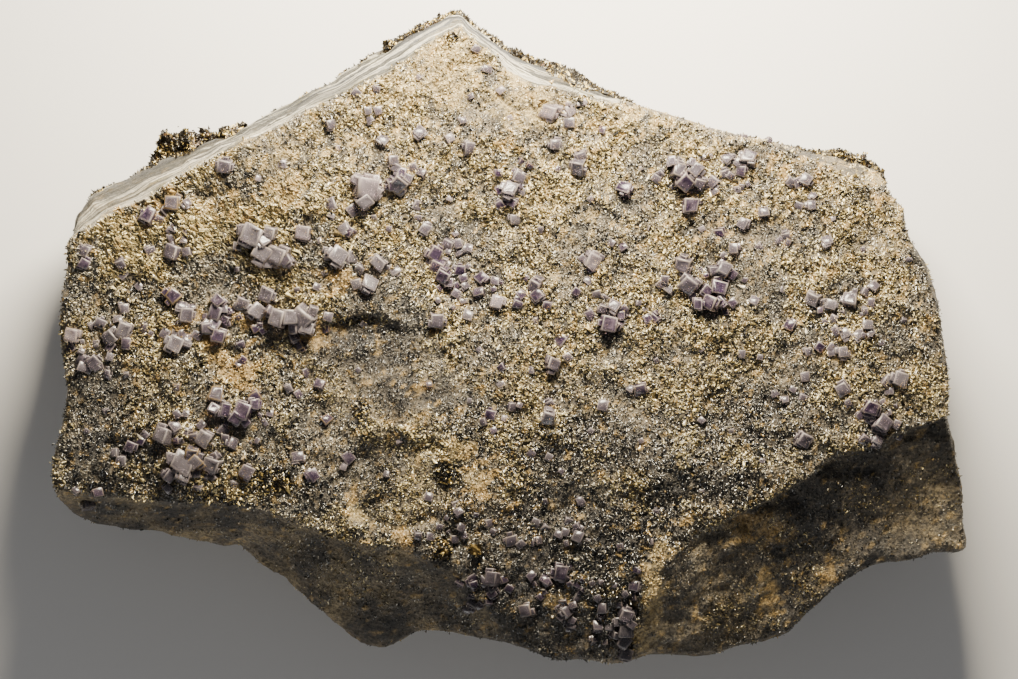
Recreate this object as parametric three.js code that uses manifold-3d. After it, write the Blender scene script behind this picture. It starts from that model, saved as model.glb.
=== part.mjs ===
// Mineral specimen: a slab of banded vein rock with a drusy front face, lying on its back.
// Violet fluorite cubes and small pyrite cubes grow on the front, dark hubnerite blades on the back rim.
// Millimetres, +Z up. X runs along the slab, Y towards its peak, and the origin is under its middle.
import * as THREE from "three";
import { mergeVertices } from "three/addons/utils/BufferGeometryUtils.js";
import Module from "manifold-3d";

const wasm = await Module();
wasm.setup();

// Driving dimensions.
const SLAB_LENGTH = 201.5;
const SLAB_WIDTH = 144;
const FACE_HEIGHT = 42;
const WIDEST_HEIGHT = 20;
const BACK_SHRINK = 0.085;
const ROOT_GAP = 0.3;

// Spacing of the points of the front, the back and the ledges, the share of it that they are scattered by,
// and a height clear above everything.
const GRID = { front: 7.3, back: 17, ledges: 7.8, scatter: 0.3 };
const FAR_HEIGHT = 80;

// Places on the face are read in picture units, from the left and downwards, and made millimetres here.
const PICTURE = { length: 917, centreU: 510, centreV: 336 };
const UNIT = SLAB_LENGTH / PICTURE.length;
const toX = (u) => (u - PICTURE.centreU) * UNIT;
const toY = (v) => (PICTURE.centreV - v) * UNIT;
const toU = (x) => x / UNIT + PICTURE.centreU;
const toV = (y) => PICTURE.centreV - y / UNIT;

// Outline of the slab where it is widest: u, v, and the place of the front's edge above it.
// Where no edge is given the wall is nearly upright.
const OUTLINE = [
  [459, 8, 462, 30], [470, 20, 467, 39], [488, 34, 480, 47], [504, 42, 490, 55], [532, 56, 512, 77],
  [556, 61, 541, 89], [573, 67, 560, 91], [592, 81, 582, 97], [606, 90, 600, 102], [624, 98, 618, 105],
  [645, 107, 641, 111], [676, 116, 674, 120], [701, 125, 699, 129], [743, 135, 741, 140],
  [766, 140, 764, 145], [792, 146, 789, 152], [812, 150, 806, 159], [835, 150, 825, 169],
  [860, 154, 848, 181], [876, 162, 868, 188], [887, 175, 882, 191], [889, 192, 885, 197], [902, 208],
  [904, 227], [912, 247], [928, 270], [938, 302], [943, 338], [947, 381], [948, 420], [955, 453], [963, 492],
  [963, 518], [969, 551], [933, 553], [914, 561], [874, 565], [846, 580], [821, 602], [800, 623], [792, 633],
  [762, 642], [717, 654], [694, 656], [650, 654], [636, 661], [619, 664], [587, 660], [560, 660], [524, 649],
  [503, 642], [476, 638], [453, 632], [418, 631], [397, 644], [378, 652], [358, 644], [338, 628], [299, 595],
  [254, 561], [237, 546], [222, 548], [194, 542], [160, 533], [120, 528], [96, 524], [74, 515], [55, 498],
  [51, 476], [56, 444], [64, 421], [68, 390], [64, 364], [63, 339], [61, 296], [68, 272], [68, 243, 71, 248],
  [71, 229, 75, 241], [74, 213, 84, 235], [88, 194, 104, 224], [104, 185, 123, 214], [118, 179, 137, 207],
  [139, 166, 158, 196], [168, 154, 185, 181], [194, 145, 209, 167], [233, 131, 247, 143],
  [265, 113, 280, 128], [300, 94, 312, 113], [323, 83, 338, 101], [354, 64, 370, 84], [379, 48, 393, 72],
  [411, 29, 422, 52], [440, 14, 446, 37],
];
const UPRIGHT_SETBACK = 0.01;
const BROKEN_LAYERS = { share: 0.006, wavelength: 7, perHeight: 3 };

// Heights of the rings that make the side wall, each with its share of the back's and the front's setback.
const SIDE_RINGS = [
  { z: -8, back: 1.5, front: 0 },
  { z: 9, back: 0.5, front: 0 },
  { z: WIDEST_HEIGHT, back: 0, front: 0 },
  { z: 28, back: 0, front: 0.3 },
  { z: 36, back: 0, front: 0.75 },
  { z: 50, back: 0, front: 1.3 },
];

// The front falls away a little towards the slab's ends and more towards its bottom edge.
const FRONT = { endFall: 1.4, bottomFall: 7.5, bottomFrom: -30, bottomRun: 42 };

// The back is flat where it rests, has shallow hollows, and curls up towards the rim outside an oval.
const BACK = { halfLength: 96, halfWidth: 66, middleY: -3, flatShare: 0.66, curl: 9, curlPower: 1.4 };
const BACK_HOLLOWS = { height: 3, wavelength: 34, sink: 1.6 };

// Lumps of each surface: height, wavelength and a number that tells them apart, in millimetres.
const LUMPS = {
  front: [[0.7, 14, 1], [0.45, 6, 2]],
  shelf: [[1, 11, 3], [0.5, 5, 4]],
  under: [[0.9, 9, 5], [0.4, 4, 6]],
};

// Swells and hollows of the front face: u, v, radius in picture units, height in millimetres.
const SWELLS = [
  [440, 215, 40, -1.3], [535, 245, 45, -1.2], [600, 230, 40, 0.8], [380, 290, 30, 0.8], [300, 250, 60, 0.7],
  [480, 120, 70, 0.5], [760, 230, 90, 0.8], [870, 300, 60, 0.9], [650, 420, 60, -0.9], [740, 380, 50, -1.2],
  [560, 520, 45, -1.6], [548, 512, 16, -2.2], [640, 560, 40, 1.3], [600, 620, 40, 1.1], [700, 600, 50, 1.4],
  [480, 590, 40, 1.2], [420, 410, 40, 1.3], [330, 470, 30, 1.3], [200, 470, 60, 0.9], [130, 420, 60, 0.5],
  [250, 420, 50, 0.8], [690, 160, 50, 0.5], [282, 478, 20, -1.6], [447, 474, 16, -1.2], [820, 360, 50, 0.6],
];

// Lower shelf at the bottom right: the step's edge, and how it falls away from the edge.
const SHELF_EDGE = [
  [628, 700], [640, 625], [655, 590], [672, 556], [700, 531], [735, 514], [762, 500], [800, 480], [835, 456],
  [880, 440], [930, 421], [985, 404],
];
const SHELF = { lip: 2, fall: 7.5, run: 16, fullFrom: 780, leastAt: 655, leastShare: 0.4 };

// Broken under-face at the bottom left: its upper edge, and how steeply it falls along it.
const UNDER_EDGE = [
  [20, 486], [90, 494], [150, 501], [220, 501], [280, 514], [330, 536], [400, 549], [440, 562], [470, 588],
  [520, 638], [560, 700],
];
const UNDER_FACE = { height: 39, steep: 1.75, gentle: 0.8, steepTo: 235, gentleFrom: 330 };
const UNDER_HOLLOW = { depth: 2, run: 12.5 };

// Small overhung ledge left of the middle, and the smooth patch below it.
const LEDGE_AREA = [
  [296, 334], [318, 322], [340, 318], [385, 314], [412, 331], [436, 348], [455, 356], [470, 372], [465, 410],
  [420, 425], [360, 420], [320, 400], [300, 360],
];
const LEDGE = { depth: 3, topV: 313, bottomV: 405, leftU: 300, rightU: 428 };
const PATCH_AREA = [
  [345, 452], [375, 438], [440, 436], [452, 470], [450, 520], [400, 535], [352, 520], [340, 478],
];
const PATCH_DEPTH = 1.1;

// Fluorite crystals that have grown together: u, v, edge length in picture units, turn in degrees.
const FLUORITE_GROUPS = [
  [[255, 237, 22, 25], [264, 254, 19, 35], [281, 256, 19, 20]],
  [[219, 313, 13, 20], [216, 326, 14, 30], [221, 337, 14, 15]],
  [[281, 318, 17, 15], [293, 318, 15, 5], [304, 317, 21, 45]],
  [[228, 409, 13, 10], [239, 417, 13, 35], [247, 411, 17, 20]],
  [[195, 452, 13, 10], [186, 462, 21, 30], [198, 461, 15, 50], [187, 475, 13, 20]],
  [[368, 189, 23, 10], [377, 194, 13, 32], [366, 203, 15, 50]],
  [[400, 184, 17, 40], [393, 186, 12, 0]],
  [[435, 254, 15, 30], [439, 266, 13, 25], [444, 276, 14, 30]],
  [[676, 173, 14, 20], [684, 182, 15, 45], [694, 172, 13, 40]],
  [[720, 271, 15, 25], [717, 288, 15, 10], [709, 303, 15, 20]],
  [[612, 308, 13, 30], [610, 315, 12, 0], [607, 324, 16, 10]],
  [[625, 613, 15, 20], [624, 628, 13, 0], [623, 639, 13, 30]],
];

// Fluorite crystals that stand alone and are one with the rock: u, v, edge length, turn.
const FLUORITE_SINGLES = [
  [76, 336, 15, 10], [97, 361, 14, 50], [174, 205, 15, 5], [152, 217, 15, 30], [176, 253, 15, 20],
  [176, 297, 16, 42], [189, 315, 14, 10], [126, 329, 16, 20], [115, 337, 14, 50], [178, 345, 17, 25],
  [167, 435, 17, 20], [228, 167, 14, 10], [269, 295, 14, 20], [258, 312, 16, 38], [219, 395, 15, 15],
  [207, 437, 16, 30], [216, 464, 15, 20], [250, 471, 14, 30], [306, 234, 14, 10], [339, 257, 18, 35],
  [381, 264, 14, 40], [370, 285, 16, 20], [497, 303, 14, 15], [437, 320, 14, 5], [493, 576, 14, 10],
  [550, 114, 14, 15], [578, 168, 15, 10], [510, 192, 16, 20], [591, 261, 16, 30], [535, 286, 14, 20],
  [552, 364, 14, 20], [548, 416, 15, 10], [559, 571, 15, 10], [624, 190, 14, 20], [688, 207, 14, 3],
  [682, 265, 16, 15], [688, 284, 17, 38], [746, 160, 14, 15], [811, 299, 14, 20], [847, 301, 14, 10],
  [896, 379, 15, 20], [867, 407, 15, 20], [878, 423, 15, 35], [801, 438, 14, 25],
];
const CRYSTAL = { lift: 0.16, leastTilt: 6, mostTilt: 32 };
const PYRITE = { turnOfSeeds: 2.4, spreadShare: 0.75, leastSize: 0.7, moreSize: 0.5, turn: 37 };

// Pyrite cubes in small pockets of the front: name, centre, spread and number.
const PYRITE_GROUPS = [
  { name: "pyrite_left", u: 283, v: 477, spread: 13, count: 4, edge: 12 },
  { name: "pyrite_middle", u: 447, v: 468, spread: 10, count: 3, edge: 12 },
  { name: "pyrite_lower", u: 445, v: 549, spread: 11, count: 3, edge: 12 },
  { name: "pyrite_cube", u: 477, v: 548, spread: 2, count: 2, edge: 10 },
];

// Hubnerite blades along the back rim: the run they stand on, their height, number and length.
const HUBNERITE_RUNS = [
  { name: "hubnerite_left", from: [164, 152], to: [240, 142], z: 19, count: 5, blade: 9 },
  { name: "hubnerite_peak_left", from: [394, 60], to: [450, 30], z: 22, count: 6, blade: 8 },
  { name: "hubnerite_peak_right", from: [506, 64], to: [584, 98], z: 22, count: 8, blade: 8 },
  { name: "hubnerite_right", from: [804, 162], to: [858, 170], z: 24, count: 4, blade: 7 },
];
const BLADE = { width: 5.6, thickness: 3, leastLength: 0.75, moreLength: 0.5 };
const BLADE_HEADING = { fan: 1.5, lean: 0.9, sink: 0.35 };

// What the blocks reach past the outline, and the height that the outline's prisms cover.
const MARGIN = { x: 20, y: 23 };
const PRISM = { from: -20, height: 90 };
const LOWEST_BLOCK = -30;

const clamp = (value, low, high) => Math.min(high, Math.max(low, value));
const ease = (t) => t * t * (3 - 2 * t);

// Repeatable scatter: the same number from 0 to 1 for the same three counts.
function scatter(i, j, k = 0) {
  const wave = Math.sin(i * 127.1 + j * 311.7 + k * 74.7) * 43758.5453;
  return wave - Math.floor(wave);
}

// Smooth roughness from -1 to 1 that changes over about one wavelength.
function rough(x, y, wavelength, seed) {
  const i = Math.floor(x / wavelength);
  const j = Math.floor(y / wavelength);
  const a = ease(x / wavelength - i);
  const b = ease(y / wavelength - j);
  const low = scatter(i, j, seed) * (1 - a) + scatter(i + 1, j, seed) * a;
  const high = scatter(i, j + 1, seed) * (1 - a) + scatter(i + 1, j + 1, seed) * a;
  return 2 * (low * (1 - b) + high * b) - 1;
}

const lumps = (kind, x, y) =>
  LUMPS[kind].reduce((sum, [height, wavelength, seed]) => sum + height * rough(x, y, wavelength, seed), 0);

const inside = (area, u, v) =>
  area.reduce((within, [u1, v1], n) => {
    const [u0, v0] = area[(n + area.length - 1) % area.length];
    const crosses = v0 > v !== v1 > v && u < ((u1 - u0) * (v - v0)) / (v1 - v0) + u0;
    return crosses ? !within : within;
  }, false);

// Height of a line of points at u, straight between its points.
function edgeAt(edge, u) {
  const n = Math.max(1, edge.findIndex(([eu]) => eu >= u));
  const [u0, v0] = edge[n - 1];
  const [u1, v1] = edge[n];
  return v0 + ((v1 - v0) * (u - u0)) / (u1 - u0);
}

// Distance in millimetres from a place to a line of points.
function awayFrom(edge, u, v) {
  const distances = edge.slice(1).map(([u1, v1], n) => {
    const [u0, v0] = edge[n];
    const along = ((u - u0) * (u1 - u0) + (v - v0) * (v1 - v0)) / ((u1 - u0) ** 2 + (v1 - v0) ** 2);
    const share = clamp(along, 0, 1);
    return Math.hypot(u - u0 - share * (u1 - u0), v - v0 - share * (v1 - v0)) * UNIT;
  });
  return Math.min(...distances);
}

// The crystal-covered front: nearly flat, with swells, hollows and a crust's lumps.
function frontHeight(x, y) {
  const bottom = Math.max(0, FRONT.bottomFrom - y) / FRONT.bottomRun;
  const ends = (2 * x) / SLAB_LENGTH;
  const swells = SWELLS.reduce((sum, [u, v, radius, height]) => {
    const away = Math.hypot(x - toX(u), y - toY(v)) / (radius * UNIT);
    return sum + height * Math.exp(-away * away);
  }, 0);
  const fall = FRONT.endFall * ends ** 2 + FRONT.bottomFall * bottom ** 2;
  return FACE_HEIGHT - fall + swells + lumps("front", x, y);
}

// The shelf: a small break at its edge, then a bevel that steepens and flattens out again.
function shelfHeight(x, y) {
  const away = clamp(awayFrom(SHELF_EDGE, toU(x), toV(y)) / SHELF.run, 0, 1);
  const along = clamp((toU(x) - SHELF.leastAt) / (SHELF.fullFrom - SHELF.leastAt), SHELF.leastShare, 1);
  const front = frontHeight(x, y) - lumps("front", x, y);
  return front - along * (SHELF.lip + SHELF.fall * ease(away)) + away * lumps("shelf", x, y);
}

function underHeight(x, y) {
  const u = clamp(toU(x), UNDER_EDGE[0][0], UNDER_EDGE.at(-1)[0]);
  const below = (toV(y) - edgeAt(UNDER_EDGE, u)) * UNIT;
  const along = clamp((u - UNDER_FACE.steepTo) / (UNDER_FACE.gentleFrom - UNDER_FACE.steepTo), 0, 1);
  const fall = UNDER_FACE.steep + (UNDER_FACE.gentle - UNDER_FACE.steep) * along;
  const hollow = UNDER_HOLLOW.depth * Math.sin(Math.PI * clamp(below / UNDER_HOLLOW.run, 0, 1));
  return Math.min(FAR_HEIGHT - 5, UNDER_FACE.height - fall * below - hollow + lumps("under", x, y));
}

function ledgeHeight(x, y) {
  const down = (toV(y) - LEDGE.topV) / (LEDGE.bottomV - LEDGE.topV);
  const across = clamp((toU(x) - LEDGE.leftU) / (LEDGE.rightU - LEDGE.leftU), 0, 1);
  return frontHeight(x, y) - LEDGE.depth * Math.sin(Math.PI * across) * clamp(1 - down, 0, 1);
}

const patchHeight = (x, y) => frontHeight(x, y) - PATCH_DEPTH;

const FAR_CORNERS = { shelf: [[1010, 404], [1010, 760]], under: [[560, 800], [-40, 800]] };
const SHELF_AREA = [...SHELF_EDGE, ...FAR_CORNERS.shelf];
const UNDER_AREA = [...UNDER_EDGE, ...FAR_CORNERS.under];
const CUTS = [
  { area: SHELF_AREA, height: shelfHeight },
  { area: UNDER_AREA, height: underHeight },
  { area: LEDGE_AREA, height: ledgeHeight },
  { area: PATCH_AREA, height: patchHeight },
];

// Height of the finished front at a place, which is where a crystal stands.
function surfaceHeight(x, y) {
  const floors = CUTS.filter(({ area }) => inside(area, toU(x), toV(y))).map(({ height }) => height(x, y));
  return Math.min(frontHeight(x, y), ...floors);
}

function backHeight(x, y) {
  const away = Math.hypot(x / BACK.halfLength, (y - BACK.middleY) / BACK.halfWidth);
  const rim = BACK.curl * Math.max(0, (away - BACK.flatShare) / (1 - BACK.flatShare)) ** BACK.curlPower;
  const hollows = BACK_HOLLOWS.height * rough(x, y, BACK_HOLLOWS.wavelength, 7) - BACK_HOLLOWS.sink;
  return Math.max(0, rim + hollows);
}

// Solids.
function solidFrom(geometry) {
  const bare = geometry.clone();
  bare.deleteAttribute("normal");
  bare.deleteAttribute("uv");
  const merged = mergeVertices(bare, 1e-4);
  return new wasm.Manifold(
    new wasm.Mesh({
      numProp: 3,
      vertProperties: merged.attributes.position.array,
      triVerts: new Uint32Array(merged.index.array),
    }),
  );
}

function geometryFrom(solid) {
  const mesh = solid.getMesh();
  const geometry = new THREE.BufferGeometry();
  geometry.setAttribute("position", new THREE.BufferAttribute(mesh.vertProperties, mesh.numProp));
  geometry.setIndex(new THREE.BufferAttribute(mesh.triVerts, 1));
  geometry.computeVertexNormals();
  return geometry;
}

// A block whose top or underside follows a height. The other side is flat, at farZ.
function reliefBlock(height, farZ, spacing, reliefOnTop) {
  const width = SLAB_LENGTH + 2 * MARGIN.x;
  const depth = SLAB_WIDTH + 2 * MARGIN.y;
  const block = new THREE.BoxGeometry(
    width, depth, 2, Math.round(width / spacing), Math.round(depth / spacing), 1,
  );
  const place = block.attributes.position;
  for (let n = 0; n < place.count; n += 1) {
    const inner = Math.abs(place.getX(n)) < width / 2 - 1 && Math.abs(place.getY(n)) < depth / 2 - 1;
    const shift = inner ? spacing * GRID.scatter : 0;
    const x = place.getX(n) + shift * rough(place.getX(n) * 7.3, place.getY(n) * 5.1, 1, 9);
    const y = place.getY(n) + shift * rough(place.getX(n) * 4.7, place.getY(n) * 6.3, 1, 10);
    const isRelief = place.getZ(n) > 0 === reliefOnTop;
    place.setXYZ(n, x, y, isRelief ? height(x, y) : farZ);
  }
  return solidFrom(block);
}

function prism(area) {
  const shape = new THREE.Shape(area.map(([u, v]) => new THREE.Vector2(toX(u), toY(v))));
  const geometry = new THREE.ExtrudeGeometry(shape, { depth: PRISM.height, bevelEnabled: false });
  return solidFrom(geometry.translate(0, 0, PRISM.from));
}

// The side wall: the outline drawn in towards the back and the front, with broken layers.
function sideWall() {
  const key = (x, y) => `${x.toFixed(2)} ${y.toFixed(2)}`;
  const edges = new Map(
    OUTLINE.map(([u, v, edgeU, edgeV]) => {
      const [x, y] = [toX(u), toY(v)];
      const isUpright = edgeU === undefined;
      const upright = [-x * UPRIGHT_SETBACK, -y * UPRIGHT_SETBACK];
      return [key(x, y), isUpright ? upright : [toX(edgeU) - x, toY(edgeV) - y]];
    }),
  );
  const shape = new THREE.Shape(OUTLINE.map(([u, v]) => new THREE.Vector2(toX(u), toY(v))));
  const steps = SIDE_RINGS.length - 1;
  const wall = new THREE.ExtrudeGeometry(shape, { depth: steps, steps, bevelEnabled: false });
  const place = wall.attributes.position;
  for (let n = 0; n < place.count; n += 1) {
    const x = place.getX(n);
    const y = place.getY(n);
    const ring = SIDE_RINGS[Math.round(place.getZ(n))];
    const layers = rough(x + BROKEN_LAYERS.perHeight * ring.z, y, BROKEN_LAYERS.wavelength, 11);
    const broken = ring.z === WIDEST_HEIGHT ? 0 : BROKEN_LAYERS.share * layers;
    const draw = 1 - BACK_SHRINK * ring.back + broken;
    const [setX, setY] = edges.get(key(x, y));
    place.setXYZ(n, x * draw + setX * ring.front, y * draw + setY * ring.front, ring.z);
  }
  return solidFrom(wall);
}

// A cube at a place, turned about the upright and tilted a little.
function cube(edge, position, turn, tiltSeed) {
  const towards = 2 * Math.PI * scatter(tiltSeed, 3);
  const tilt = CRYSTAL.leastTilt + (CRYSTAL.mostTilt - CRYSTAL.leastTilt) * scatter(tiltSeed, 5);
  const lean = new THREE.Vector3(Math.cos(towards), Math.sin(towards), 0);
  const matrix = new THREE.Matrix4()
    .makeRotationAxis(lean, THREE.MathUtils.degToRad(tilt))
    .multiply(new THREE.Matrix4().makeRotationZ(THREE.MathUtils.degToRad(turn)));
  matrix.setPosition(position);
  return solidFrom(new THREE.BoxGeometry(edge, edge, edge).applyMatrix4(matrix));
}

function crystalAt([u, v, size, turn], grow = 0) {
  const edge = size * UNIT;
  const x = toX(u);
  const y = toY(v);
  const position = new THREE.Vector3(x, y, surfaceHeight(x, y) + CRYSTAL.lift * edge);
  return cube(edge + 2 * grow, position, -turn, u * 7 + v);
}

const joined = (solids) => wasm.Manifold.union(solids);

// The largest body of a solid, without the loose slivers that a cut leaves at an edge.
const whole = (solid) => solid.decompose().sort((a, b) => b.volume() - a.volume())[0];

function pyriteAt({ u, v, spread, count, edge }, grow = 0) {
  const cubes = [];
  for (let n = 0; n < count; n += 1) {
    const angle = n * PYRITE.turnOfSeeds;
    const away = spread * Math.sqrt(n / count) * PYRITE.spreadShare;
    const size = edge * (PYRITE.leastSize + PYRITE.moreSize * scatter(u, n));
    const place = [u + away * Math.cos(angle), v + away * Math.sin(angle)];
    cubes.push(crystalAt([...place, size, n * PYRITE.turn], grow));
  }
  return joined(cubes);
}

// Blades side by side along the rim, each leaning out of the wall on its own heading.
function bladesAt({ from, to, z, count, blade }, grow = 0) {
  const blades = [];
  const along = Math.atan2(toY(to[1]) - toY(from[1]), toX(to[0]) - toX(from[0]));
  for (let n = 0; n < count; n += 1) {
    const chance = (kind) => scatter(n, from[0], kind);
    const share = n / (count - 1);
    const x = toX(from[0] + (to[0] - from[0]) * share);
    const y = toY(from[1] + (to[1] - from[1]) * share);
    const length = blade * (BLADE.leastLength + BLADE.moreLength * chance(0));
    const heading = along + Math.PI / 2 + BLADE_HEADING.fan * (chance(2) - 0.5);
    const rise = BLADE_HEADING.lean * (chance(3) - BLADE_HEADING.sink);
    const box = new THREE.BoxGeometry(length + 2 * grow, BLADE.width + 2 * grow, BLADE.thickness + 2 * grow);
    box.rotateX(Math.PI * chance(4)).rotateY(-rise).rotateZ(heading);
    blades.push(solidFrom(box.translate(x, y, z + BLADE.thickness * (chance(5) - 0.5))));
  }
  return joined(blades);
}

// Materials.
const rock = new THREE.MeshStandardMaterial({ color: 0xb5a98a, roughness: 0.85 });
const fluorite = new THREE.MeshStandardMaterial({ color: 0xa79bb5, roughness: 0.2 });
const pyrite = new THREE.MeshStandardMaterial({ color: 0xc9a24a, roughness: 0.3, metalness: 1 });
const hubnerite = new THREE.MeshStandardMaterial({ color: 0x33261a, roughness: 0.3, metalness: 0.5 });

// The rock: front, back and side wall cut it out, then its ledges and the crystals' roots.
function slab(roots) {
  const body = reliefBlock(frontHeight, LOWEST_BLOCK, GRID.front, true)
    .intersect(reliefBlock(backHeight, FAR_HEIGHT, GRID.back, false))
    .intersect(sideWall());
  const above = (height) => reliefBlock(height, FAR_HEIGHT, GRID.ledges, false);
  const cutters = CUTS.map(({ area, height }) => prism(area).intersect(above(height)));
  const singles = FLUORITE_SINGLES.map((crystal) => crystalAt(crystal));
  return whole(joined([body.subtract(joined(cutters)), ...singles]).subtract(joined(roots)));
}

const specimen = new THREE.Group();

function add(name, solid, material) {
  const mesh = new THREE.Mesh(geometryFrom(solid), material);
  mesh.name = name;
  specimen.add(mesh);
}

const roots = [
  ...FLUORITE_GROUPS.flatMap((group) => group.map((crystal) => crystalAt(crystal, ROOT_GAP))),
  ...PYRITE_GROUPS.map((group) => pyriteAt(group, ROOT_GAP)),
  ...HUBNERITE_RUNS.map((run) => bladesAt(run, ROOT_GAP)),
];
add("matrix_slab", slab(roots), rock);
FLUORITE_GROUPS.forEach((group, n) => {
  const crystals = joined(group.map((crystal) => crystalAt(crystal)));
  add(`fluorite_cluster_${String(n + 1).padStart(2, "0")}`, crystals, fluorite);
});
PYRITE_GROUPS.forEach((group) => add(group.name, pyriteAt(group), pyrite));
HUBNERITE_RUNS.forEach((run) => add(run.name, bladesAt(run), hubnerite));

export default specimen;
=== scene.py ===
# A mineral specimen lying on its back: a slab of vein rock under a sugary quartz druse,
# with violet fluorite cubes, small pyrite cubes and dark hubnerite blades grown on it.
# Metres, in the frame of the solids: X along the slab, Y towards its peak, Z up out of the druse.
import math

import bmesh
import bpy
import numpy as np
from mathutils import Matrix, Vector, noise
from mathutils.bvhtree import BVHTree


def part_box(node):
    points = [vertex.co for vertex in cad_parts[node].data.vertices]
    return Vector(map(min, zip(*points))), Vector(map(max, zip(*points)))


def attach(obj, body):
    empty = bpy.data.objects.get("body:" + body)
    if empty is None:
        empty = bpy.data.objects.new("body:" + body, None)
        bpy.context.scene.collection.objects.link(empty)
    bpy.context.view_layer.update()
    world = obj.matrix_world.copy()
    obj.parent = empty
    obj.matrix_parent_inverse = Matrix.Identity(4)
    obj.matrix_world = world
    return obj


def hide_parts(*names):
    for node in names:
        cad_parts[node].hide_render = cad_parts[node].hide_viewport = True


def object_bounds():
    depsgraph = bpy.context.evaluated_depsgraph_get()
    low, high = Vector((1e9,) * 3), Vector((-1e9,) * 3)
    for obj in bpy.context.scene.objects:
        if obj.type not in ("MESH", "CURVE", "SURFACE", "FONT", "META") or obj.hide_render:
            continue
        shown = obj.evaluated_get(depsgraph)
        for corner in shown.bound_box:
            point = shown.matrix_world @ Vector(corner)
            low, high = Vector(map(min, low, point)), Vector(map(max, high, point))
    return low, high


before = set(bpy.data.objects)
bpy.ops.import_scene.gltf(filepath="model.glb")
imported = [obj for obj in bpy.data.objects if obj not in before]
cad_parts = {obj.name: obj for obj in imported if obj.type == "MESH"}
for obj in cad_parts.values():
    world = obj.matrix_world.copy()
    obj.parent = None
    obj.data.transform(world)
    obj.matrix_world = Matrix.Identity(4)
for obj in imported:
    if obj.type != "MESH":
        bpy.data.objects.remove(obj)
CAD_LOW, CAD_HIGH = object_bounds()
MM = 0.001

# Places on the face are read in picture units, from the left and downwards.
PICTURE_WIDTH, PICTURE_HEIGHT = 1018, 679
SLAB_UNITS = 918
CENTRE_U, CENTRE_V = 510, 336
UNIT = (CAD_HIGH.x - CAD_LOW.x) / SLAB_UNITS

# Outlines: the lower shelf at the bottom right, the broken under-face at the bottom left,
# the smooth hollows in the druse, and the banded side face along the upper rim.
SHELF = [
    (985, 404), (930, 421), (880, 440), (835, 456), (800, 480), (762, 500), (735, 514), (700, 531),
    (672, 556), (655, 590), (640, 625), (628, 700), (1010, 720),
]
UNDER_FACE = [
    (20, 486), (90, 494), (150, 501), (220, 501), (280, 514), (330, 536), (400, 549), (440, 562),
    (470, 588), (520, 638), (560, 700), (560, 800), (-40, 800),
]
SMOOTH_HOLLOWS = [
    [(292, 330), (340, 318), (385, 314), (450, 352), (465, 395), (420, 425), (350, 420), (310, 385)],
    [(345, 455), (380, 445), (430, 450), (448, 490), (440, 520), (400, 535), (352, 520)],
    [(430, 560), (500, 575), (590, 610), (600, 655), (500, 640), (440, 600)],
]
BAND = [
    (60, 244), (94, 231), (123, 217), (153, 201), (185, 184), (221, 162), (256, 140), (279, 131),
    (318, 114), (351, 97), (390, 77), (422, 55), (445, 38), (462, 28), (467, 38), (480, 49), (490, 57),
    (512, 79), (541, 91), (582, 99), (600, 104), (620, 106), (600, 80), (460, 0), (380, 30), (60, 200),
]
# How plainly the band shows, along the picture: at these u, these shares.
BAND_SHARE = ((90, 260), (0.7, 1))

# Soft-edged places: u, v, half-width, half-height, strength. First the stains of the rock and its grains,
# then painted light, then dark patches mixed with painted shade, then where golden grains nest in the druse,
# where the dark crust covers the rim and how it reaches up.
ORANGE_PLACES = [
    (293, 191, 14, 12, 0.5), (339, 280, 13, 13, 0.9), (195, 316, 10, 8, 0.8), (247, 319, 6, 8, 0.8),
    (219, 357, 12, 9, 0.9), (247, 371, 17, 13, 1), (325, 331, 12, 8, 0.7), (370, 385, 7, 5, 0.9),
    (425, 386, 8, 8, 0.8), (357, 495, 7, 11, 0.9), (403, 536, 8, 12, 0.9), (478, 486, 9, 8, 0.8),
    (485, 487, 26, 40, 0.35), (758, 527, 30, 17, 0.8), (835, 570, 13, 12, 0.7), (775, 165, 17, 10, 0.5),
    (821, 182, 11, 12, 0.6), (876, 206, 7, 7, 0.9), (830, 273, 8, 8, 0.7), (925, 331, 7, 9, 0.6),
    (509, 148, 9, 9, 0.6), (120, 208, 26, 9, 0.4), (172, 204, 13, 11, 0.6), (238, 205, 30, 14, 0.3),
    (300, 120, 30, 8, 0.3), (420, 420, 30, 14, 0.25), (700, 240, 26, 20, 0.2), (640, 560, 24, 24, 0.1),
    (768, 595, 12, 28, 0.6), (560, 320, 16, 12, 0.25), (150, 380, 26, 16, 0.2), (560, 600, 18, 14, 0.4),
    (245, 475, 16, 12, 0.35), (890, 410, 16, 14, 0.3), (186, 337, 10, 9, 0.9), (213, 336, 14, 8, 0.9),
    (162, 210, 9, 8, 0.9), (238, 311, 9, 9, 0.8), (320, 338, 16, 10, 0.6), (238, 362, 16, 8, 0.6),
]
CREAM_PLACES = [
    (293, 191, 20, 20, 0.9), (452, 70, 34, 40, 0.9), (530, 108, 44, 24, 0.8), (400, 96, 40, 22, 0.6),
    (620, 120, 60, 16, 0.6), (460, 446, 16, 11, 1), (476, 474, 12, 12, 0.8), (359, 515, 10, 8, 1),
    (555, 598, 14, 12, 1), (658, 550, 14, 9, 0.8), (652, 590, 12, 44, 1.1), (640, 636, 10, 18, 1),
    (768, 594, 12, 32, 0.8), (290, 160, 60, 24, 0.4), (700, 150, 70, 20, 0.4), (521, 81, 15, 9, 1),
    (360, 200, 50, 40, 0.3), (880, 178, 14, 8, 0.8), (880, 240, 30, 40, 0.3), (330, 150, 170, 44, 0.34),
    (215, 200, 44, 26, 0.5), (420, 100, 60, 30, 0.4), (560, 200, 60, 60, 0.3), (120, 230, 50, 24, 0.35),
    (780, 200, 60, 24, 0.3),
]
# Painted light: paler rock where the shelf and the lower front face the lamp.
PAINTED_LIGHT_PLACES = [(925, 500, 36, 46, 0.3), (715, 595, 44, 60, 0.26), (690, 640, 60, 20, 0.26)]
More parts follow.
